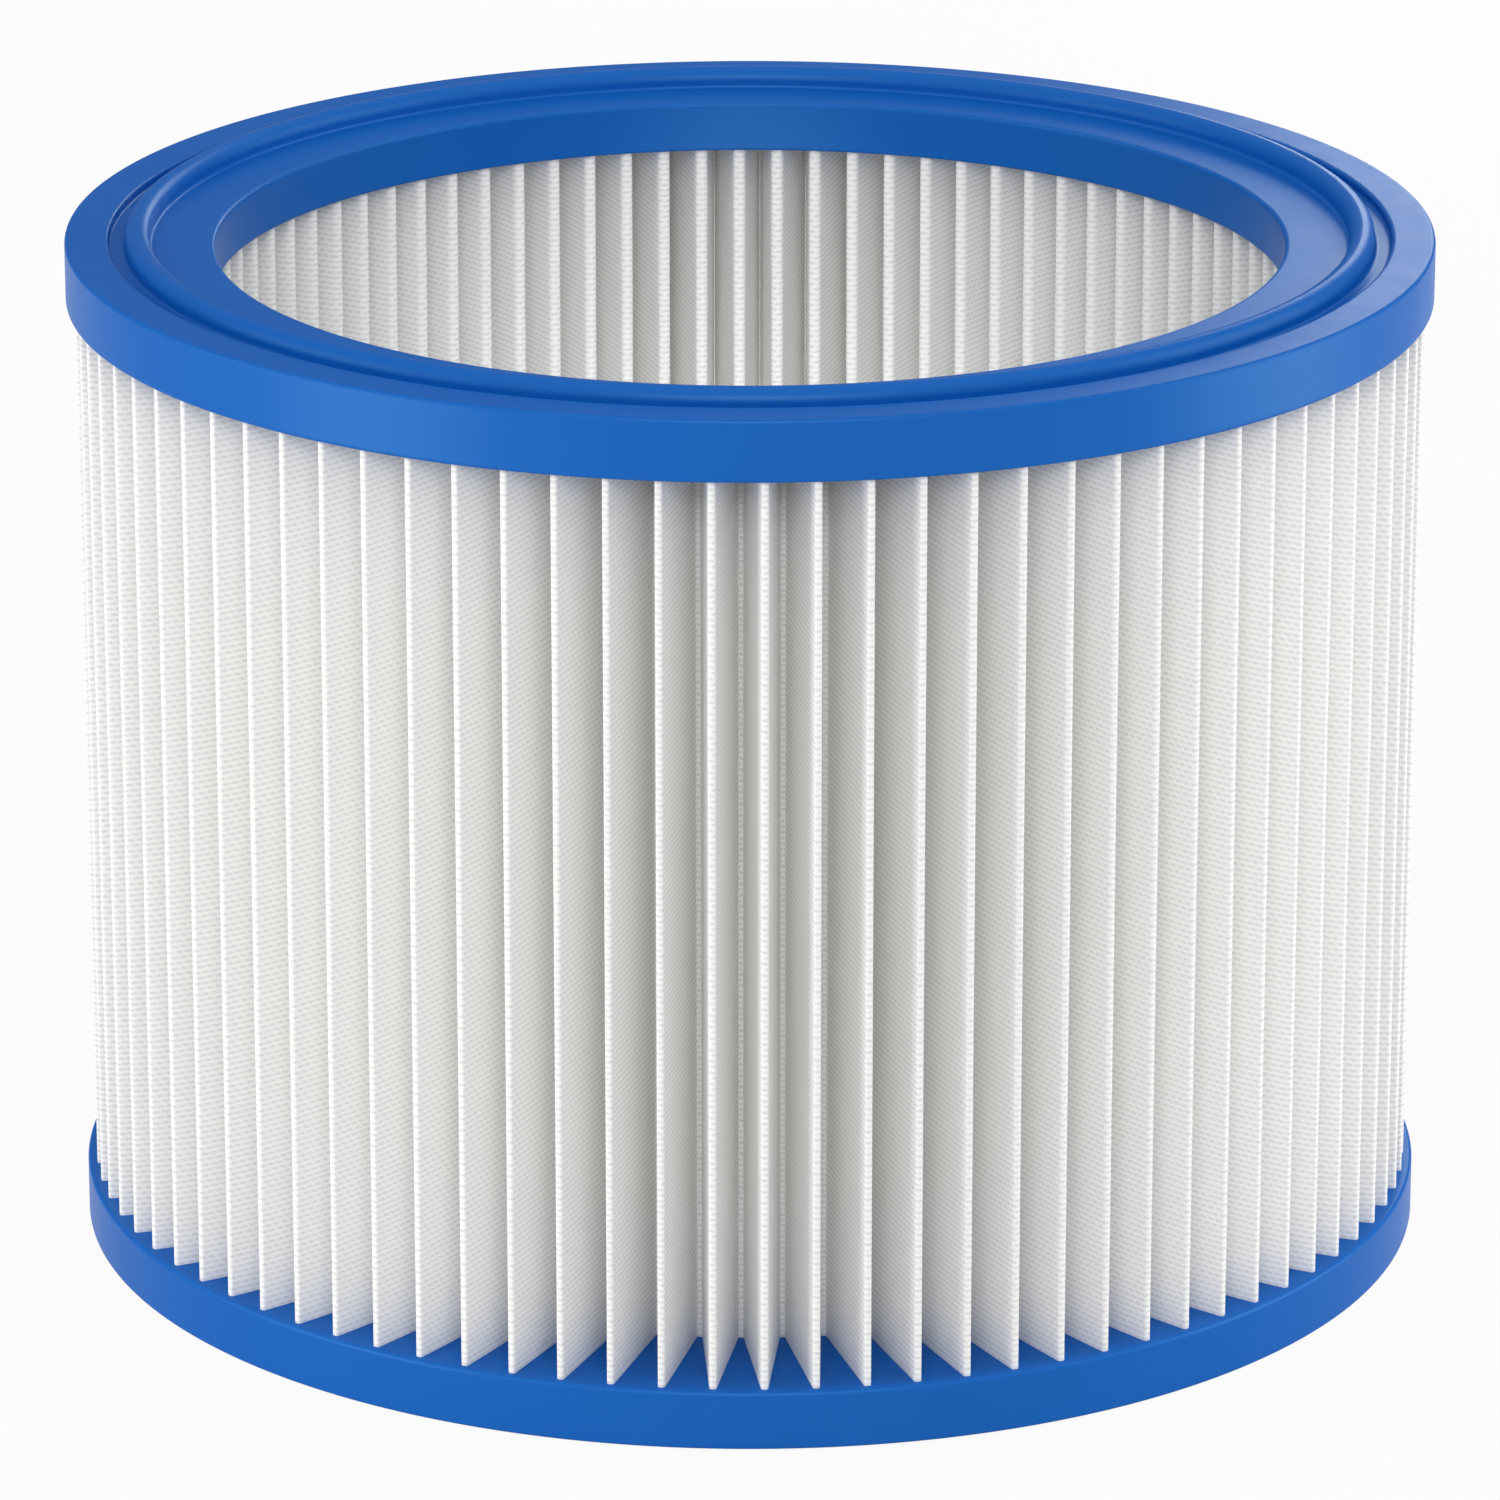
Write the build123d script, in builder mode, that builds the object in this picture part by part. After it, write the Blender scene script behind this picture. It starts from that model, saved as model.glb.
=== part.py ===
from build123d import *
import os
from math import asin, degrees

os.makedirs("parts", exist_ok=True)

# Pleated cartridge filter, millimetres, standing on its bottom ring with +Z up its axis.
# A folded ring of cloth is potted at both ends in cast polyurethane rings.

# Both rings
OUTER_DIAMETER = 185.0
RING_WIDTH = 20.2  # from the outer wall to the bore
BODY_HEIGHT = 139.7  # from the base to the flat land of the top ring
TOP_CAP_HEIGHT = 8.3
BOTTOM_CAP_HEIGHT = 8.0
EDGE_CHAMFER = 0.45  # upper edges of both rings

# Sealing face of the top ring, from the outer wall inwards
LAND_WIDTH = 5.9
GROOVE_WIDTH = 2.2  # between the land and the bead
BEAD_WIDTH = 3.4
BEAD_CREST_WIDTH = 1.4  # flat at the top of the bead, between bevels that stand for its round
BEAD_RISE = 1.55  # above the land
RECESS_DEPTH = 1.25  # of the groove and the inner floor below the land

# Folded cloth
PLEAT_COUNT = 85
CLOTH_THICKNESS = 0.5
VALLEY_WIDTH = 0.65  # flat at the bottom of each valley, seen from outside
OUTER_FOLD_MARGIN = 1.2  # from the outer wall of the rings in to the folds
INNER_FOLD_MARGIN = 0.9  # from the bore of the rings out to the folds
POTTING_DEPTH = 4.0  # how far the folds are cast into each ring
FIRST_FOLD_ANGLE = -88.8  # of an outer fold, from the +X axis

# Radii and heights that follow from them
outer_radius = OUTER_DIAMETER / 2
bore_radius = outer_radius - RING_WIDTH
groove_radius = outer_radius - LAND_WIDTH
bead_outer_radius = groove_radius - GROOVE_WIDTH
bead_inner_radius = bead_outer_radius - BEAD_WIDTH
bead_bevel = (BEAD_WIDTH - BEAD_CREST_WIDTH) / 2
bead_top = BODY_HEIGHT + BEAD_RISE
recess_floor = BODY_HEIGHT - RECESS_DEPTH
top_cap_underside = BODY_HEIGHT - TOP_CAP_HEIGHT
cloth_bottom = BOTTOM_CAP_HEIGHT - POTTING_DEPTH
cloth_height = top_cap_underside + POTTING_DEPTH - cloth_bottom
outer_fold_radius = outer_radius - OUTER_FOLD_MARGIN
inner_fold_radius = bore_radius + INNER_FOLD_MARGIN


def fold_corners():
    """Corners of one fold wall, on both faces of the cloth, for an outer fold on the +X axis.

    A wall runs from an outer fold to the next inner fold, half a pitch away. An outer fold
    is tight, so its inside corner is one sharp line behind its flat tip, while an inner
    fold leaves a narrow flat valley. The two faces of the wall are parallel lines through
    the sharp corner and through the valley's edge, so they lean from the line between those
    by the angle whose sine is thickness over distance.
    """
    half_pitch = 180 / PLEAT_COUNT
    inner_axis = Vector(1, 0).rotate(Axis.Z, half_pitch)
    sharp_corner = Vector(outer_fold_radius - CLOTH_THICKNESS, 0)
    valley_edge = Vector(inner_fold_radius + CLOTH_THICKNESS, -VALLEY_WIDTH / 2).rotate(Axis.Z, half_pitch)
    span = sharp_corner - valley_edge
    along = span.rotate(Axis.Z, degrees(asin(CLOTH_THICKNESS / span.length))).normalized()
    outer_tip = valley_edge + along * ((outer_fold_radius - valley_edge.X) / along.X)
    inner_reach = inner_fold_radius - sharp_corner.dot(inner_axis)
    inner_tip = sharp_corner + along * (inner_reach / along.dot(inner_axis))
    return outer_tip, valley_edge, sharp_corner, inner_tip


def mirrored(point, axis_angle):
    """The point on the other side of the line through the origin at that angle."""
    return Vector(point.X, -point.Y).rotate(Axis.Z, 2 * axis_angle)


pitch = 360 / PLEAT_COUNT
outer_tip, valley_edge, sharp_corner, inner_tip = fold_corners()
outer_face_fold = (mirrored(outer_tip, 0), outer_tip, valley_edge, mirrored(valley_edge, pitch / 2))
inner_face_fold = (sharp_corner, inner_tip, mirrored(inner_tip, pitch / 2))
fold_angles = [FIRST_FOLD_ANGLE + pitch * fold for fold in range(PLEAT_COUNT)]
outer_face = [corner.rotate(Axis.Z, angle) for angle in fold_angles for corner in outer_face_fold]
inner_face = [corner.rotate(Axis.Z, angle) for angle in fold_angles for corner in inner_face_fold]

# Section of the folded cloth, which is also the section of the pockets that it fills in the rings
with BuildSketch() as pleat_section:
    with BuildLine():
        Polyline(*outer_face, close=True)
    make_face()
    with BuildLine():
        Polyline(*inner_face, close=True)
    make_face(mode=Mode.SUBTRACT)

# Folded cloth, one sheet
with BuildPart() as pleated_media:
    with BuildSketch(Plane.XY.offset(cloth_bottom)):
        add(pleat_section.sketch)
    extrude(amount=cloth_height)

# Top ring, cast with its groove, round sealing bead and recessed inner floor
with BuildPart() as top_end_cap:
    with BuildSketch(Plane.XZ):
        with BuildLine():
            Polyline(
                (bore_radius, top_cap_underside),
                (outer_radius, top_cap_underside),
                (outer_radius, BODY_HEIGHT - EDGE_CHAMFER),
                (outer_radius - EDGE_CHAMFER, BODY_HEIGHT),
                (groove_radius, BODY_HEIGHT),
                (groove_radius, recess_floor),
                (bead_outer_radius, recess_floor),
                (bead_outer_radius, bead_top - bead_bevel),
                (bead_outer_radius - bead_bevel, bead_top),
                (bead_inner_radius + bead_bevel, bead_top),
                (bead_inner_radius, bead_top - bead_bevel),
                (bead_inner_radius, recess_floor),
                (bore_radius + EDGE_CHAMFER, recess_floor),
                (bore_radius, recess_floor - EDGE_CHAMFER),
                close=True,
            )
        make_face()
    revolve(axis=Axis.Z)
    with BuildSketch(Plane.XY.offset(top_cap_underside)):
        add(pleat_section.sketch)
    extrude(amount=POTTING_DEPTH, mode=Mode.SUBTRACT)

# Bottom ring, cast plain
with BuildPart() as bottom_end_cap:
    with BuildSketch(Plane.XZ):
        with BuildLine():
            Polyline(
                (bore_radius, 0),
                (outer_radius, 0),
                (outer_radius, BOTTOM_CAP_HEIGHT - EDGE_CHAMFER),
                (outer_radius - EDGE_CHAMFER, BOTTOM_CAP_HEIGHT),
                (bore_radius, BOTTOM_CAP_HEIGHT),
                close=True,
            )
        make_face()
    revolve(axis=Axis.Z)
    with BuildSketch(Plane.XY.offset(cloth_bottom)):
        add(pleat_section.sketch)
    extrude(amount=POTTING_DEPTH, mode=Mode.SUBTRACT)

pieces = {
    "top_end_cap": top_end_cap,
    "pleated_media": pleated_media,
    "bottom_end_cap": bottom_end_cap,
}
for name, piece in pieces.items():
    piece.part.label = name
    export_step(piece.part, f"parts/{name}.step")
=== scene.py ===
from math import radians

import bpy
import numpy as np
from bpy.props import FloatProperty, FloatVectorProperty, IntProperty, PointerProperty
from bpy.types import Operator, Panel, PropertyGroup
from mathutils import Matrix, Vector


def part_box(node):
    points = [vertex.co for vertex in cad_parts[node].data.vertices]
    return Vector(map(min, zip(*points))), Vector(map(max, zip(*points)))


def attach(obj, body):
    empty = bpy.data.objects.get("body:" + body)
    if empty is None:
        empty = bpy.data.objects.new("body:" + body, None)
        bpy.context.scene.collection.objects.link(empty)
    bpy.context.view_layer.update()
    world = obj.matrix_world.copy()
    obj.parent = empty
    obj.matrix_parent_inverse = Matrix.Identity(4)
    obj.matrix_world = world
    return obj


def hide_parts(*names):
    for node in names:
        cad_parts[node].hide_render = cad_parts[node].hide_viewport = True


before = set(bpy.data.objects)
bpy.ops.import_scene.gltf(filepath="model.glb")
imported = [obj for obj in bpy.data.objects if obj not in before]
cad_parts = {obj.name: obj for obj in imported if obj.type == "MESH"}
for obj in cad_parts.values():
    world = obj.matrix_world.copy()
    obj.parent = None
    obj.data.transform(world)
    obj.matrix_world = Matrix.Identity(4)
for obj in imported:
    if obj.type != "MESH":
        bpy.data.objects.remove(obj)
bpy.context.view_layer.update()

bl_info = {
    "name": "Pleated Cartridge Filter",
    "version": (1, 0, 0),
    "blender": (4, 5, 0),
    "location": "View3D > Sidebar > Filter",
    "description": "Builds a pleated vacuum cleaner filter: folded cloth potted in two cast rings",
    "category": "Add Mesh",
}

TOP_RING_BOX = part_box("top_end_cap")
BOTTOM_RING_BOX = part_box("bottom_end_cap")
CLOTH_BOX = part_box("pleated_media")

FULL_TURN = 2 * np.pi

# Meshes, with lengths in metres
ARC_POINTS = 5  # on each rounded corner
POCKET_ARC_POINTS = 3  # on the corners of the pockets in the rings
PROFILE_STAND_OFF = 0.00015  # from an arc of a ring's profile to the next point beside it
FOLD_STAND_OFF = 0.00025  # the same on the folds of the cloth
MOST_STAND_OFF = 0.4  # share of a straight that a point beside an arc may take up
WALL_SPLITS = 4  # points that split the wall of a fold
CLOTH_ROWS = 9  # of points up each face of the cloth
CREASE_SETBACK = 0.0005  # from the sharp inside corner of an outer fold to the crease as drawn
BEAD_ROUND_SHARE = 0.485  # radius of the bead's round over its width
SHARP_ANGLE = radians(58)  # between two faces, from which their edge is sharp
UV_MAP = "Developed"  # the surface laid flat, in metres

# Cast polyurethane
CLOUD_SCALE = 48.0
SKIN_SCALE = 260.0
NOISE_DETAIL = 1.0
SKIN_RANGE = (0.25, 0.75)  # of the skin's noise, over which the roughness runs
RING_ROUGHNESS = (0.33, 0.37)
SHEEN_ROUGHNESS = 0.4
SKIN_STRENGTH = 0.1
SKIN_DEPTH = 0.00003
SPECULAR_TINT = (0.5, 0.8, 1.0, 1.0)

# Woven cloth
CLOTH_ROUGHNESS = 0.85
DASH_STEP = (-0.85, 0.25)  # of the dash's cosine, from the weak end of a gap to its full strength
DASH_SHARE = 0.5  # of a gap's strength that comes and goes along its course
COURSE_SHIFT = 0.5  # of a repeat, from one course to the next

# Stage
FLOOR_REACH = 6.0
FLOOR_DROP = 0.0002
FLOOR_WHITE = 0.93  # share of plain white in the floor as it is seen; the rest shows the shadow
WHITE = (1.0, 1.0, 1.0, 1.0)
SKY_AXIS = (0.0, -0.15, 0.99)
SKY_RANGE = (-0.3, 1.0)  # along that axis, from the back fill to the top fill
LAMP_AIM = (0.0, 0.0, 0.07)
# Name, place, size, spread in degrees, and which power of the stage settings
LAMPS = (
    ("front_softbox", (0.0, -1.3, 0.75), (0.8, 0.4), 180, "front_power"),
    ("left_softbox", (-0.9, -0.22, 0.32), (0.8, 0.55), 180, "left_power"),
    ("right_softbox", (0.9, 0.08, 0.42), (0.75, 0.75), 180, "right_power"),
    ("left_low_softbox", (-0.37, -0.24, 0.06), (0.22, 0.12), 180, "low_power"),
    ("right_low_softbox", (0.425, -0.02, 0.06), (0.25, 0.12), 180, "low_power"),
    ("back_softbox", (0.22, 0.8, 0.34), (0.2, 0.3), 180, "back_power"),
    ("bore_softbox", (0.0, -0.06, 0.075), (0.06, 0.06), 75, "bore_power"),
)
CAMERA_PLACE = (0.0, -1.11285, 0.4408)
SENSOR_WIDTH = 36.0  # millimetres
CLIP_START, CLIP_END = 0.01, 50.0
DIFFUSE_BOUNCES = 12  # light comes out of the deep white folds only after many


class FilterRingSettings(PropertyGroup):
    """Sizes of the two cast rings, in metres, from the outer wall inwards."""

    outer_radius: FloatProperty(
        name="Outer Radius", description="Outer wall of both rings",
        default=TOP_RING_BOX[1].x, unit="LENGTH", precision=5,
    )
    bore_radius: FloatProperty(
        name="Bore Radius", description="Bore of both rings",
        default=0.0723, unit="LENGTH", precision=5,
    )
    land_height: FloatProperty(
        name="Land Height", description="Flat outer land of the top ring above the base",
        default=0.1397, unit="LENGTH", precision=5,
    )
    land_width: FloatProperty(
        name="Land Width", description="From the outer wall in to the groove",
        default=0.0059, unit="LENGTH", precision=5,
    )
    groove_width: FloatProperty(
        name="Groove Width", description="Between the land and the sealing bead",
        default=0.0022, unit="LENGTH", precision=5,
    )
    bead_width: FloatProperty(
        name="Bead Width", description="Width of the round sealing bead",
        default=0.0034, unit="LENGTH", precision=5,
    )
    recess_depth: FloatProperty(
        name="Recess Depth", description="Groove and inner floor below the land",
        default=0.00125, unit="LENGTH", precision=5,
    )
    edge_radius: FloatProperty(
        name="Edge Radius", description="Round of the upper edges",
        default=0.0005, unit="LENGTH", precision=5,
    )
    foot_radius: FloatProperty(
        name="Foot Radius", description="Hollow round at the feet of the land and the bead",
        default=0.0004, unit="LENGTH", precision=5,
    )
    lower_edge_radius: FloatProperty(
        name="Lower Edge Radius", description="Round of the edges that face the floor",
        default=0.0004, unit="LENGTH", precision=5,
    )


class FilterClothSettings(PropertyGroup):
    """Sizes of the folded cloth and of its weave, in metres."""

    pleat_count: IntProperty(
        name="Pleats", description="Outer folds round the filter",
        default=85, min=3,
    )
    thickness: FloatProperty(
        name="Thickness", description="Thickness of the cloth",
        default=0.0005, unit="LENGTH", precision=5,
    )
    outer_fold_radius: FloatProperty(
        name="Outer Fold Radius", description="Flat tips of the outer folds",
        default=0.0913, unit="LENGTH", precision=5,
    )
    inner_fold_radius: FloatProperty(
        name="Inner Fold Radius", description="Inside faces of the inner folds",
        default=0.0732, unit="LENGTH", precision=5,
    )
    valley_width: FloatProperty(
        name="Valley Width", description="Flat at the bottom of each valley, seen from outside",
        default=0.00065, unit="LENGTH", precision=5,
    )
    first_fold: FloatProperty(
        name="First Fold", description="Direction of an outer fold from the X axis",
        default=radians(-88.8), subtype="ANGLE", unit="ROTATION",
    )
    tip_round: FloatProperty(
        name="Tip Round", description="Corner round of the outer folds",
        default=0.00036, unit="LENGTH", precision=5,
    )
    valley_round: FloatProperty(
        name="Valley Round", description="Corner round of the valleys between the outer folds",
        default=0.00018, unit="LENGTH", precision=5,
    )
    crease_round: FloatProperty(
        name="Crease Round", description="Corner round behind the outer folds",
        default=0.00003, unit="LENGTH", precision=5,
    )
    inner_round: FloatProperty(
        name="Inner Round", description="Corner round of the inner folds",
        default=0.00078, unit="LENGTH", precision=5,
    )
    row_pitch: FloatProperty(
        name="Row Pitch", description="From one row of the weave to the next, up the cloth",
        default=0.000782, unit="LENGTH", precision=6,
    )
    dash_pitch: FloatProperty(
        name="Dash Pitch", description="Repeat of the weave along a row",
        default=0.00127, unit="LENGTH", precision=6,
    )
    dash_lean: FloatProperty(
        name="Dash Lean", description="Share of a repeat by which a dash leans across its row",
        default=0.3,
    )


class FilterFinishSettings(PropertyGroup):
    """Colours and gloss of the two materials."""

    ring_colour: FloatVectorProperty(
        name="Ring Colour", description="Cast polyurethane",
        subtype="COLOR", size=4, min=0, max=1, default=(0.002, 0.096, 0.43, 1),
    )
    ring_cloud_colour: FloatVectorProperty(
        name="Ring Cloud Colour", description="Faint clouding in the casting",
        subtype="COLOR", size=4, min=0, max=1, default=(0.003, 0.106, 0.455, 1),
    )
    ring_gloss: FloatProperty(
        name="Ring Specular", description="Specular level of the rings",
        subtype="FACTOR", min=0, max=1, default=0.04,
    )
    ring_sheen: FloatProperty(
        name="Ring Sheen", description="Share of broad sheen on the casting",
        subtype="FACTOR", min=0, max=1, default=0.03,
    )
    ring_sheen_colour: FloatVectorProperty(
        name="Ring Sheen Colour", description="Tint of the broad sheen",
        subtype="COLOR", size=4, min=0, max=1, default=(0.43, 0.9, 1.0, 1),
    )
    cloth_colour: FloatVectorProperty(
        name="Cloth Colour", description="Tops of the threads",
        subtype="COLOR", size=4, min=0, max=1, default=(0.955, 0.955, 0.943, 1),
    )
    gap_colour: FloatVectorProperty(
        name="Gap Colour", description="Gaps between the threads",
        subtype="COLOR", size=4, min=0, max=1, default=(0.76, 0.76, 0.75, 1),
    )


class FilterStageSettings(PropertyGroup):
    """Floor, lamps and camera."""

    floor_colour: FloatVectorProperty(
        name="Floor Colour", description="Plain pale floor",
        subtype="COLOR", size=4, min=0, max=1, default=(0.6, 0.6, 0.6, 1),
    )
    top_fill: FloatProperty(
        name="Top Fill", description="Soft light from above",
        min=0, default=0.95,
    )
    back_fill: FloatProperty(
        name="Back Fill", description="Soft light from low at the back",
        min=0, default=0.0,
    )
    front_power: FloatProperty(
        name="Front Lamp", description="Wide soft lamp in front",
        min=0, default=5.7, unit="POWER",
    )
    left_power: FloatProperty(
        name="Left Lamp", description="Soft lamp at the left",
        min=0, default=2.3, unit="POWER",
    )
    right_power: FloatProperty(
        name="Right Lamp", description="Soft lamp at the right",
        min=0, default=3.2, unit="POWER",
    )
    low_power: FloatProperty(
        name="Low Lamps", description="Small lamps near the floor at both sides",
        min=0, default=0.32, unit="POWER",
    )
    back_power: FloatProperty(
        name="Back Lamp", description="Soft lamp behind the filter at the right",
        min=0, default=0.9, unit="POWER",
    )
    bore_power: FloatProperty(
        name="Bore Lamp", description="Small lamp inside the bore that faces the back",
        min=0, default=0.018, unit="POWER",
    )
    focal_length: FloatProperty(
        name="Focal Length", description="Lens of the camera in millimetres on a 36 mm sensor",
        min=1, default=204.2,
    )
    camera_pitch: FloatProperty(
        name="Camera Pitch", description="How far the camera looks down",
        default=0.3257, subtype="ANGLE", unit="ROTATION",
    )


def unit(vectors):
    """Each vector divided by its own length."""
    return vectors / np.linalg.norm(vectors, axis=-1, keepdims=True)


def rounded(corners, radii, steps, stand_off=0.0, splits=0):
    """Closed outline with each corner replaced by an arc, as an array (corner, point, 2).

    With a and b the unit directions from a corner to its two neighbours and h half the angle
    between them, the arc meets the straights at distance radius / tan h from the corner, and
    its centre lies radius / sin h along the sum of a and b. Its points are centre + radius *
    (s sin((1 - t) w) + e sin(t w)) / sin w, where s and e point from the centre to the two ends,
    w is pi - 2 h and t runs from 0 to 1 in the given number of steps. Where stand_off is given,
    one more point lies on each straight, that far from the arc but never past the share
    MOST_STAND_OFF of what is left of the straight, and between those of two corners the straight
    is split evenly by as many points as splits says.
    """
    before = np.roll(corners, 1, 0) - corners
    after = np.roll(corners, -1, 0) - corners
    a, b = unit(before), unit(after)
    half = np.arccos(np.clip((a * b).sum(-1), -1, 1)) / 2
    cut = radii / np.tan(half)
    centre = corners + unit(a + b) * (radii / np.sin(half))[:, None]
    start = unit(corners + a * cut[:, None] - centre)
    end = unit(corners + b * cut[:, None] - centre)
    sweep = (np.pi - 2 * half)[:, None, None]
    t = np.linspace(0, 1, steps)[None, :, None]
    turn = start[:, None] * np.sin((1 - t) * sweep) + end[:, None] * np.sin(t * sweep)
    arc = centre[:, None] + radii[:, None, None] * (turn / np.sin(sweep))
    if not stand_off:
        return arc
    left = np.linalg.norm(after, axis=-1) - cut - np.roll(cut, -1)
    gap_after = np.minimum(stand_off, MOST_STAND_OFF * left)
    gap_before = np.minimum(stand_off, MOST_STAND_OFF * np.roll(left, 1))
    first = corners + a * (cut + gap_before)[:, None]
    last = corners + b * (cut + gap_after)[:, None]
    share = np.linspace(0, 1, splits + 2)[None, :-1, None]
    straight = last[:, None] * (1 - share) + np.roll(first, -1, 0)[:, None] * share
    return np.concatenate([first[:, None], arc, straight], 1)


def turned(points, angle):
    """Points of the plane turned about the origin."""
    c, s = np.cos(angle), np.sin(angle)
    x, y = points[..., 0], points[..., 1]
    return np.stack([x * c - y * s, x * s + y * c], -1)


def raised(plan, heights):
    """Points of the plane (row, column, 2) with one height for each row, as an array (row, column, 3)."""
    return np.concatenate([plan, np.broadcast_to(heights[:, None, None], plan.shape[:2] + (1,))], -1)


def fold_outlines(cloth, steps, stand_off=0.0, splits=0):
    """Plan outlines of the cloth's outer and inner face, as two arrays (column, 2).

    For an outer fold on the X axis the wall runs from the fold's sharp inside corner to the
    valley's edge half a pitch away. Its two faces are parallel lines through those points, so
    they lean from the line between them by the angle whose sine is thickness over distance.
    The sharp corner is drawn as a crease of two corners, each set back along its wall. So each
    face of a fold has four corners, the second pair mirrored across the next valley, and all
    folds are that one turned by whole pitches. The corners are then rounded, with steps,
    stand_off and splits as in rounded.
    """
    pitch = FULL_TURN / cloth.pleat_count
    sharp = np.array([cloth.outer_fold_radius - cloth.thickness, 0.0])
    valley = np.array([cloth.inner_fold_radius + cloth.thickness, -cloth.valley_width / 2])
    valley = turned(valley, pitch / 2)
    span = sharp - valley
    along = unit(turned(span, np.arcsin(cloth.thickness / np.linalg.norm(span))))
    tip = valley + along * ((cloth.outer_fold_radius - valley[0]) / along[0])
    axis = turned(np.array([1.0, 0.0]), pitch / 2)
    back = sharp + along * ((cloth.inner_fold_radius - sharp @ axis) / (along @ axis))
    crease = sharp - along * CREASE_SETBACK
    mirror = np.array([1.0, -1.0])
    outer = np.array([tip * mirror, tip, valley, turned(valley * mirror, pitch)])
    inner = np.array([crease * mirror, crease, back, turned(back * mirror, pitch)])
    turns = cloth.first_fold + pitch * np.arange(cloth.pleat_count)
    outer = turned(outer[None], turns[:, None]).reshape(-1, 2)
    inner = turned(inner[None], turns[:, None]).reshape(-1, 2)
    outer_rounds = np.tile(np.repeat([cloth.tip_round, cloth.valley_round], 2), cloth.pleat_count)
    inner_rounds = np.tile(np.repeat([cloth.crease_round, cloth.inner_round], 2), cloth.pleat_count)
    return (
        rounded(outer, outer_rounds, steps, stand_off, splits).reshape(-1, 2),
        rounded(inner, inner_rounds, steps, stand_off, splits).reshape(-1, 2),
    )


def closed_mesh(name, points, along_column, along_row):
    """Mesh on a grid (row, column, 3) that closes on itself both ways, with a UV map in metres.

    The face of row i and column j joins points (i, j), (i, j + 1), (i + 1, j + 1) and (i + 1, j),
    counted round. U runs with the columns and V with the rows, and both have one value more
    than the grid, so that the last face of a turn does not run back to zero.
    """
    rows, columns = points.shape[:2]
    i, j = np.meshgrid(np.arange(rows), np.arange(columns), indexing="ij")
    corner_row = np.stack([i, i, i + 1, i + 1], -1)
    corner_column = np.stack([j, j + 1, j + 1, j], -1)
    faces = (corner_row % rows) * columns + corner_column % columns
    uv = np.stack([along_column[corner_column], along_row[corner_row]], -1)
    mesh = bpy.data.meshes.new(name)
    mesh.from_pydata(points.reshape(-1, 3), [], faces.reshape(-1, 4))
    layer = mesh.uv_layers.new(name=UV_MAP)
    layer.uv.foreach_set("vector", uv.astype(np.float32).ravel())
    mesh.polygons.foreach_set("use_smooth", np.ones(rows * columns, dtype=bool))
    mesh.set_sharp_from_angle(angle=SHARP_ANGLE)
    mesh.update()
    return mesh


def ring_points(profile, cloth, pocket_mouth, pocket_end):
    """Grid (row, column, 3) of a cast ring that is lathed from a profile and pocketed for the cloth.

    The profile is an array (point, 2) of radius and height that starts at the mouth of the pocket
    and runs round the outside of the ring, outer wall first. Each of its points is carried
    round the Z axis in even steps, with an outer fold midway between the columns of its two
    corners. Four more rows close the loop through the pocket: the cloth's inner face at the mouth
    and at the end, then its outer face at the end and at the mouth.
    """
    outer, inner = fold_outlines(cloth, POCKET_ARC_POINTS)
    column = np.arange(len(outer)) - POCKET_ARC_POINTS + 0.5
    angle = cloth.first_fold + FULL_TURN * column / len(outer)
    around = np.stack([np.cos(angle), np.sin(angle)], -1)
    lathe = raised(profile[:, :1, None] * around[None], profile[:, 1])
    heights = np.array([pocket_mouth, pocket_end, pocket_end, pocket_mouth])
    pocket = raised(np.stack([inner, inner, outer, outer]), heights)
    return np.concatenate([lathe, pocket])


def lengths(points):
    """Running length along a closed path (point, 2 or 3), with the whole turn as its last value."""
    steps = np.linalg.norm(np.roll(points, -1, 0) - points, axis=-1)
    return np.concatenate([[0.0], np.cumsum(steps)])


def add_piece(name, mesh, material, node):
    """Links a finished mesh as a piece that rides on the part and stands for its solid."""
    mesh.materials.append(material)
    piece = bpy.data.objects.new(name, mesh)
    bpy.context.scene.collection.objects.link(piece)
    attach(piece, "root")
    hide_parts(node)
    return piece


def add_node(tree, kind, settings=None, **inputs):
    """Shader node with its settings, and its inputs set or linked by name, or by number as in i0."""
    node = tree.nodes.new(kind)
    for key, value in (settings or {}).items():
        setattr(node, key, value)
    for key, value in inputs.items():
        numbered = key[0] == "i" and key[1:].isdigit()
        socket = node.inputs[int(key[1:]) if numbered else key.replace("_", " ")]
        if isinstance(value, bpy.types.NodeSocket):
            tree.links.new(value, socket)
        else:
            socket.default_value = value
    return node


def calc(tree, operation, first, second=0.0, third=0.0):
    """Result of a Math node."""
    node = add_node(tree, "ShaderNodeMath", {"operation": operation}, i0=first, i1=second, i2=third)
    return node.outputs[0]


def blend(tree, share, first, second):
    """Colour that runs from the first to the second as the share runs from 0 to 1."""
    node = add_node(tree, "ShaderNodeMix", {"data_type": "RGBA"}, i0=share, i6=first, i7=second)
    return node.outputs[2]


def new_material(name):
    """Empty node material with its node tree and its output node."""
    material = bpy.data.materials.new(name)
    material.use_nodes = True
    material.node_tree.nodes.clear()
    return material, material.node_tree, material.node_tree.nodes.new("ShaderNodeOutputMaterial")


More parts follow.
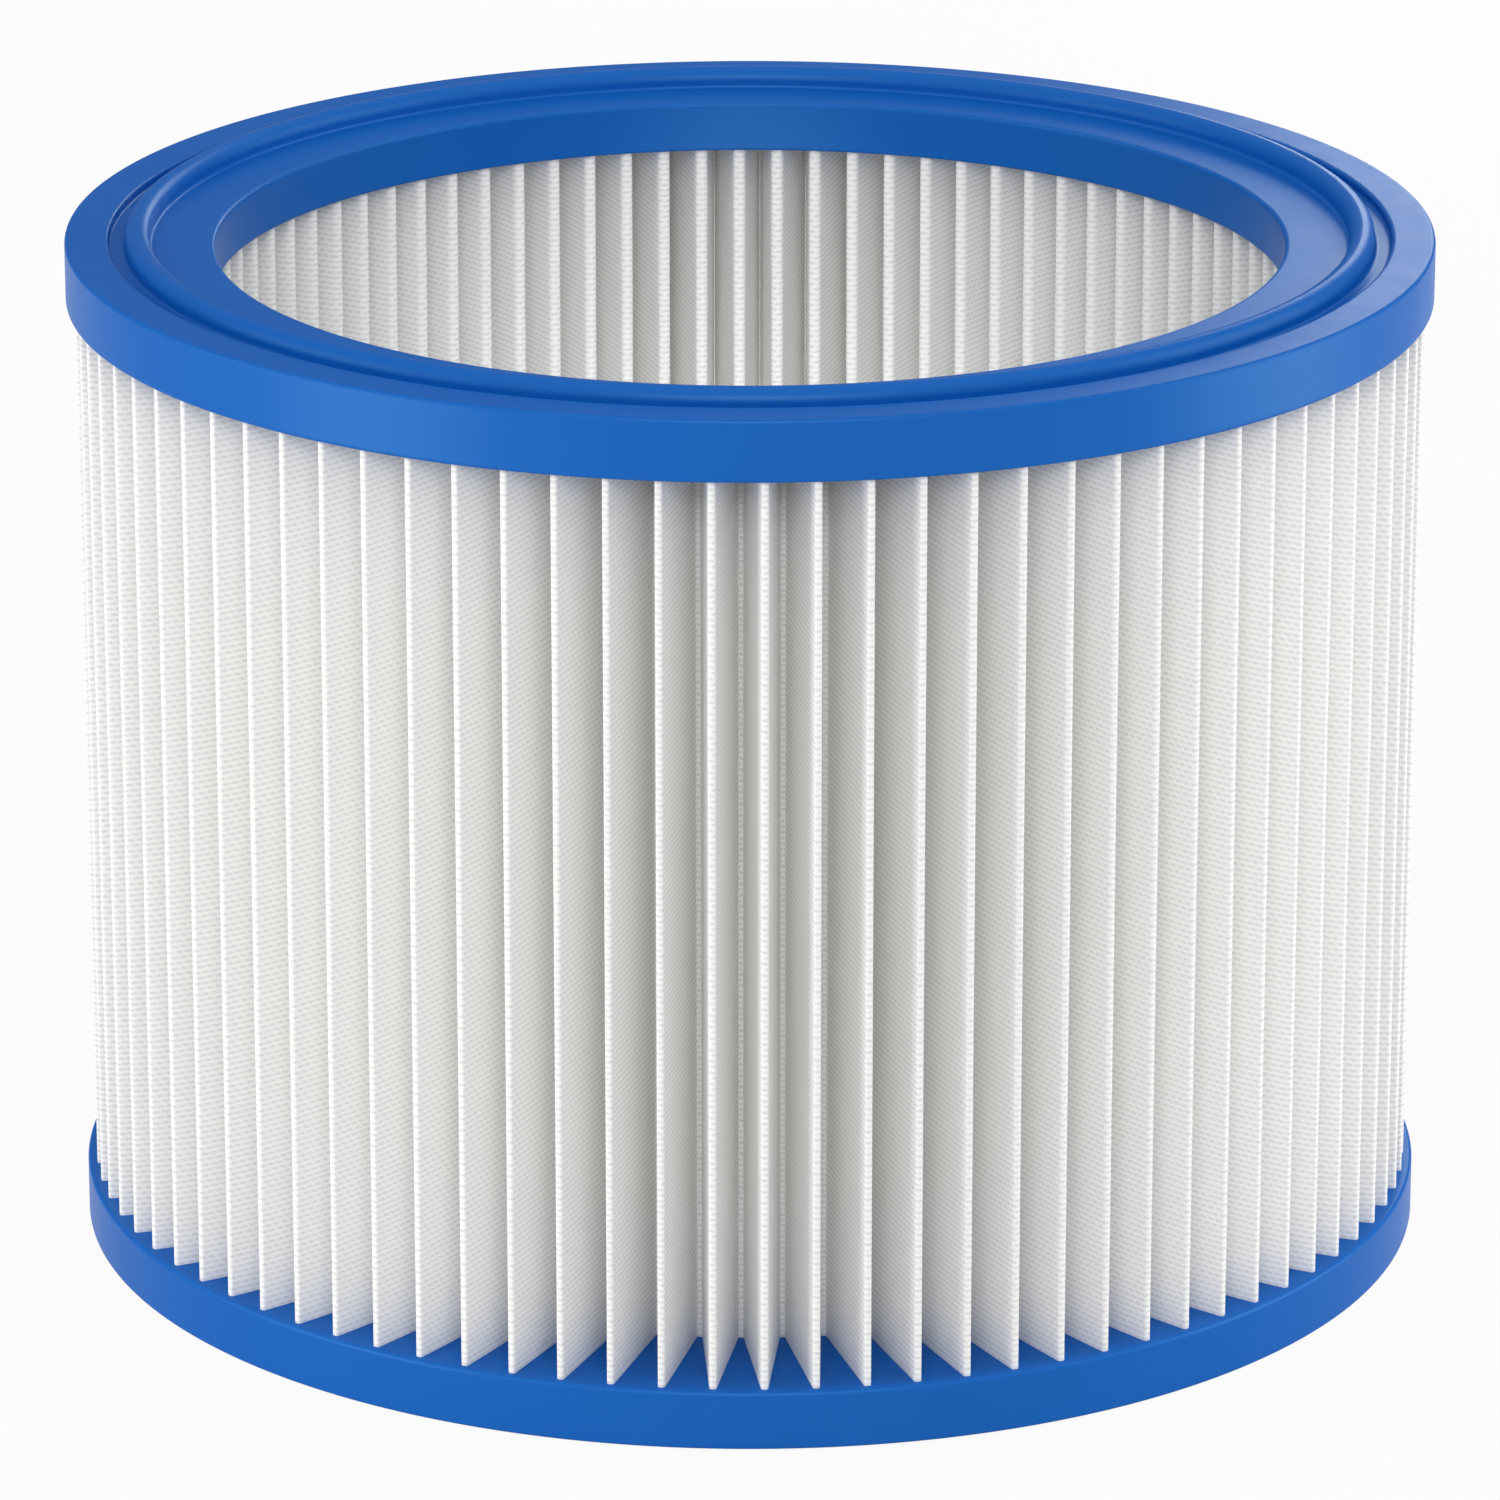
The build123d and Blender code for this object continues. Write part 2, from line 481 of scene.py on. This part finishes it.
def polyurethane(finish):
    """Cast blue polyurethane: faint clouding, uneven gloss, a very shallow waviness and a broad sheen."""
    known = bpy.data.materials.get("cast_polyurethane")
    if known:
        return known
    material, tree, output = new_material("cast_polyurethane")
    place = add_node(tree, "ShaderNodeTexCoord").outputs["Object"]
    cloud = add_node(tree, "ShaderNodeTexNoise", Vector=place, Scale=CLOUD_SCALE, Detail=NOISE_DETAIL)
    colour = blend(tree, cloud.outputs["Fac"], finish.ring_colour, finish.ring_cloud_colour)
    skin = add_node(tree, "ShaderNodeTexNoise", Vector=place, Scale=SKIN_SCALE, Detail=NOISE_DETAIL)
    height = skin.outputs["Fac"]
    rough = add_node(
        tree, "ShaderNodeMapRange", Value=height, From_Min=SKIN_RANGE[0], From_Max=SKIN_RANGE[1],
        To_Min=RING_ROUGHNESS[0], To_Max=RING_ROUGHNESS[1],
    )
    wave = add_node(tree, "ShaderNodeBump", Height=height, Strength=SKIN_STRENGTH, Distance=SKIN_DEPTH)
    normal = wave.outputs["Normal"]
    casting = add_node(
        tree, "ShaderNodeBsdfPrincipled", Base_Color=colour, Roughness=rough.outputs["Result"],
        Normal=normal, Specular_IOR_Level=finish.ring_gloss, Specular_Tint=SPECULAR_TINT,
    )
    sheen = add_node(
        tree, "ShaderNodeBsdfAnisotropic", Color=finish.ring_sheen_colour, Roughness=SHEEN_ROUGHNESS,
        Normal=normal,
    )
    both = add_node(
        tree, "ShaderNodeMixShader", i0=finish.ring_sheen, i1=casting.outputs["BSDF"],
        i2=sheen.outputs["BSDF"],
    )
    tree.links.new(both.outputs[0], output.inputs["Surface"])
    return material


def woven_cloth(finish, cloth, length):
    """White woven cloth, with its weave as a pattern of colour on the developed UV map.

    The gaps between the threads lie in courses up the cloth. Across a course a gap is a raised
    cosine. Along it the share DASH_SHARE of the gap's strength comes and goes in dashes, and the
    rest stays: a dash is the smooth step of a cosine, shifted by half a repeat in every other
    course and leaning a little. The repeat is trimmed so that a whole number goes round.
    """
    material, tree, output = new_material("woven_filter_cloth")
    flat = add_node(tree, "ShaderNodeUVMap", {"uv_map": UV_MAP}).outputs["UV"]
    along = add_node(tree, "ShaderNodeSeparateXYZ", Vector=flat).outputs
    height = calc(tree, "MULTIPLY", along["Y"], 1 / cloth.row_pitch)
    across = calc(tree, "FRACT", height)
    course = calc(tree, "FLOOR", height)
    wave = calc(tree, "COSINE", calc(tree, "MULTIPLY", across, FULL_TURN))
    band = calc(tree, "MULTIPLY_ADD", wave, -0.5, 0.5)
    repeat = round(length / cloth.dash_pitch) / length
    dash = calc(tree, "MULTIPLY", along["X"], repeat)
    dash = calc(tree, "MULTIPLY_ADD", across, cloth.dash_lean, dash)
    dash = calc(tree, "MULTIPLY_ADD", course, COURSE_SHIFT, dash)
    step = add_node(
        tree, "ShaderNodeMapRange", {"interpolation_type": "SMOOTHSTEP"},
        Value=calc(tree, "COSINE", calc(tree, "MULTIPLY", dash, FULL_TURN)),
        From_Min=DASH_STEP[0], From_Max=DASH_STEP[1],
    )
    strength = calc(tree, "MULTIPLY_ADD", step.outputs["Result"], DASH_SHARE, 1 - DASH_SHARE)
    gap = calc(tree, "MULTIPLY", band, strength)
    shader = add_node(
        tree, "ShaderNodeBsdfPrincipled", Base_Color=blend(tree, gap, finish.cloth_colour, finish.gap_colour),
        Roughness=CLOTH_ROUGHNESS, Specular_IOR_Level=0.0,
    )
    tree.links.new(shader.outputs["BSDF"], output.inputs["Surface"])
    return material


class FILTER_PART_OT_cast_top_ring(Operator):
    """Cast the top ring with its land, groove, round sealing bead and recessed floor"""

    bl_idname = "filter_part.cast_top_ring"
    bl_label = "Cast Top Ring"

    def execute(self, context):
        scene = context.scene
        ring, cloth = scene.filter_rings, scene.filter_cloth
        underside, crest = TOP_RING_BOX[0].z, TOP_RING_BOX[1].z
        land, floor = ring.land_height, ring.land_height - ring.recess_depth
        groove = ring.outer_radius - ring.land_width
        bead_out = groove - ring.groove_width
        bead_in = bead_out - ring.bead_width
        corners = np.array([
            (ring.outer_radius, underside), (ring.outer_radius, land),
            (groove, land), (groove, floor),
            (bead_out, floor), (bead_out, crest),
            (bead_in, crest), (bead_in, floor),
            (ring.bore_radius, floor), (ring.bore_radius, underside),
        ])
        edge, foot, low = ring.edge_radius, ring.foot_radius, ring.lower_edge_radius
        bead = ring.bead_width * BEAD_ROUND_SHARE
        rounds = np.array([low, edge, edge, foot, foot, bead, bead, foot, edge, low])
        profile = rounded(corners, rounds, ARC_POINTS, PROFILE_STAND_OFF).reshape(-1, 2)
        points = ring_points(profile, cloth, underside, CLOTH_BOX[1].z)
        mesh = closed_mesh("top_sealing_ring", points, lengths(points[0]), lengths(points[:, 0]))
        casting = polyurethane(scene.filter_finish)
        add_piece("top_sealing_ring", mesh, casting, "top_end_cap")
        return {"FINISHED"}


class FILTER_PART_OT_cast_bottom_ring(Operator):
    """Cast the plain bottom ring"""

    bl_idname = "filter_part.cast_bottom_ring"
    bl_label = "Cast Bottom Ring"

    def execute(self, context):
        scene = context.scene
        ring, cloth = scene.filter_rings, scene.filter_cloth
        base, top = BOTTOM_RING_BOX[0].z, BOTTOM_RING_BOX[1].z
        corners = np.array([
            (ring.outer_radius, top), (ring.outer_radius, base),
            (ring.bore_radius, base), (ring.bore_radius, top),
        ])
        edge, low = ring.edge_radius, ring.lower_edge_radius
        rounds = np.array([edge, low, low, edge])
        profile = rounded(corners, rounds, ARC_POINTS, PROFILE_STAND_OFF).reshape(-1, 2)
        # The profile runs the other way round than the top ring's, so the rows are turned over
        points = ring_points(profile, cloth, top, CLOTH_BOX[0].z)[::-1]
        mesh = closed_mesh("bottom_ring", points, lengths(points[0]), lengths(points[:, 0]))
        casting = polyurethane(scene.filter_finish)
        add_piece("bottom_ring", mesh, casting, "bottom_end_cap")
        return {"FINISHED"}


class FILTER_PART_OT_fold_cloth(Operator):
    """Fold the filter cloth into a ring of pleats between the two rings"""

    bl_idname = "filter_part.fold_cloth"
    bl_label = "Fold Cloth"

    def execute(self, context):
        scene = context.scene
        cloth = scene.filter_cloth
        outer, inner = fold_outlines(cloth, ARC_POINTS, FOLD_STAND_OFF, WALL_SPLITS)
        heights = np.linspace(CLOTH_BOX[0].z, CLOTH_BOX[1].z, CLOTH_ROWS)
        plan = np.repeat(np.stack([outer, inner]), CLOTH_ROWS, 0)
        rise = np.concatenate([heights, heights[::-1]])
        along = lengths((outer + inner) / 2)
        mesh = closed_mesh("folded_cloth", raised(plan, rise), along, np.append(rise, rise[0]))
        weave = woven_cloth(scene.filter_finish, cloth, along[-1])
        piece = add_piece("folded_cloth", mesh, weave, "pleated_media")
        return {"FINISHED"}


def add_floor(scene, stage):
    """Pale floor that is seen nearly white, keeps the shadow and is clear from below."""
    corner = np.array([(-1, -1), (1, -1), (1, 1), (-1, 1)])
    mesh = bpy.data.meshes.new("floor")
    points = np.concatenate([corner * FLOOR_REACH, np.full((4, 1), -FLOOR_DROP)], 1)
    mesh.from_pydata(points, [], [(0, 1, 2, 3)])
    material, tree, output = new_material("pale_floor")
    ray = add_node(tree, "ShaderNodeLightPath").outputs
    seen = calc(tree, "MAXIMUM", ray["Is Glossy Ray"], ray["Is Transmission Ray"])
    seen = calc(tree, "MAXIMUM", ray["Is Camera Ray"], seen)
    part_seen = calc(tree, "MULTIPLY", seen, FLOOR_WHITE)
    matt = add_node(tree, "ShaderNodeBsdfDiffuse", Color=stage.floor_colour)
    white = add_node(tree, "ShaderNodeEmission", Color=WHITE, Strength=1.0)
    mix = add_node(tree, "ShaderNodeMixShader", i0=part_seen, i1=matt.outputs[0], i2=white.outputs[0])
    under = add_node(tree, "ShaderNodeNewGeometry").outputs["Backfacing"]
    clear = add_node(tree, "ShaderNodeBsdfTransparent")
    final = add_node(tree, "ShaderNodeMixShader", i0=under, i1=mix.outputs[0], i2=clear.outputs[0])
    tree.links.new(final.outputs[0], output.inputs["Surface"])
    mesh.materials.append(material)
    floor = bpy.data.objects.new("floor", mesh)
    scene.collection.objects.link(floor)


def add_sky(scene, stage):
    """White world that is brightest overhead."""
    world = bpy.data.worlds.new("studio")
    world.use_nodes = True
    tree = world.node_tree
    tree.nodes.clear()
    toward = add_node(tree, "ShaderNodeTexCoord").outputs["Generated"]
    facing = add_node(tree, "ShaderNodeVectorMath", {"operation": "DOT_PRODUCT"}, i0=toward, i1=SKY_AXIS)
    level = add_node(
        tree, "ShaderNodeMapRange", Value=facing.outputs["Value"], From_Min=SKY_RANGE[0],
        From_Max=SKY_RANGE[1], To_Min=stage.back_fill, To_Max=stage.top_fill,
    )
    sky = add_node(tree, "ShaderNodeBackground", Color=WHITE, Strength=level.outputs["Result"])
    output = tree.nodes.new("ShaderNodeOutputWorld")
    tree.links.new(sky.outputs[0], output.inputs["Surface"])
    scene.world = world


def add_lamps(scene, stage):
    """Soft lamps that all face the middle of the filter."""
    for name, place, size, spread, power in LAMPS:
        lamp = bpy.data.lights.new(name, "AREA")
        lamp.shape, (lamp.size, lamp.size_y) = "RECTANGLE", size
        lamp.energy, lamp.spread = getattr(stage, power), radians(spread)
        held = bpy.data.objects.new(name, lamp)
        x, y, z = np.array(LAMP_AIM) - np.array(place)
        held.location = place
        held.rotation_euler = (np.arctan2(np.hypot(x, y), -z), 0, np.arctan2(-x, y))
        held.visible_camera = False
        scene.collection.objects.link(held)


def add_camera(scene, stage):
    """Camera in front of the filter and above it, looking down."""
    camera = bpy.data.cameras.new("camera")
    camera.lens, camera.sensor_width = stage.focal_length, SENSOR_WIDTH
    camera.clip_start, camera.clip_end = CLIP_START, CLIP_END
    held = bpy.data.objects.new("camera", camera)
    held.location = CAMERA_PLACE
    held.rotation_euler = (radians(90) - stage.camera_pitch, 0, 0)
    scene.collection.objects.link(held)
    scene.camera = held


class FILTER_PART_OT_set_stage(Operator):
    """Set the floor, the lamps and the camera"""

    bl_idname = "filter_part.set_stage"
    bl_label = "Set Stage"

    def execute(self, context):
        scene, stage = context.scene, context.scene.filter_stage
        add_floor(scene, stage)
        add_sky(scene, stage)
        add_lamps(scene, stage)
        add_camera(scene, stage)
        scene.view_settings.view_transform = "Standard"
        scene.cycles.diffuse_bounces = DIFFUSE_BOUNCES
        return {"FINISHED"}


class FILTER_PART_PT_builder(Panel):
    """Builds the filter piece by piece"""

    bl_label = "Pleated Filter"
    bl_idname = "FILTER_PART_PT_builder"
    bl_space_type = "VIEW_3D"
    bl_region_type = "UI"
    bl_category = "Filter"

    def draw(self, context):
        scene, layout = context.scene, self.layout
        groups = (scene.filter_rings, scene.filter_cloth, scene.filter_finish, scene.filter_stage)
        for group in groups:
            box = layout.box()
            for key in group.__annotations__:
                box.prop(group, key)
        for operator in OPERATORS:
            layout.operator(operator.bl_idname)


SETTINGS = {
    "filter_rings": FilterRingSettings,
    "filter_cloth": FilterClothSettings,
    "filter_finish": FilterFinishSettings,
    "filter_stage": FilterStageSettings,
}
OPERATORS = (
    FILTER_PART_OT_cast_top_ring,
    FILTER_PART_OT_cast_bottom_ring,
    FILTER_PART_OT_fold_cloth,
    FILTER_PART_OT_set_stage,
)


def register():
    """Registers the settings, the operators and the panel."""
    for group in SETTINGS.values():
        bpy.utils.register_class(group)
    for operator in OPERATORS:
        bpy.utils.register_class(operator)
    bpy.utils.register_class(FILTER_PART_PT_builder)
    for name, group in SETTINGS.items():
        setattr(bpy.types.Scene, name, PointerProperty(type=group))


def unregister():
    """Takes away what register added, in the opposite order."""
    for name in SETTINGS:
        delattr(bpy.types.Scene, name)
    bpy.utils.unregister_class(FILTER_PART_PT_builder)
    for operator in reversed(OPERATORS):
        bpy.utils.unregister_class(operator)
    for group in reversed(list(SETTINGS.values())):
        bpy.utils.unregister_class(group)


def main():
    """Registers the classes, and builds the pieces and the stage."""
    register()
    bpy.ops.filter_part.cast_top_ring()
    bpy.ops.filter_part.cast_bottom_ring()
    bpy.ops.filter_part.fold_cloth()
    bpy.ops.filter_part.set_stage()


if __name__ == "__main__":
    main()
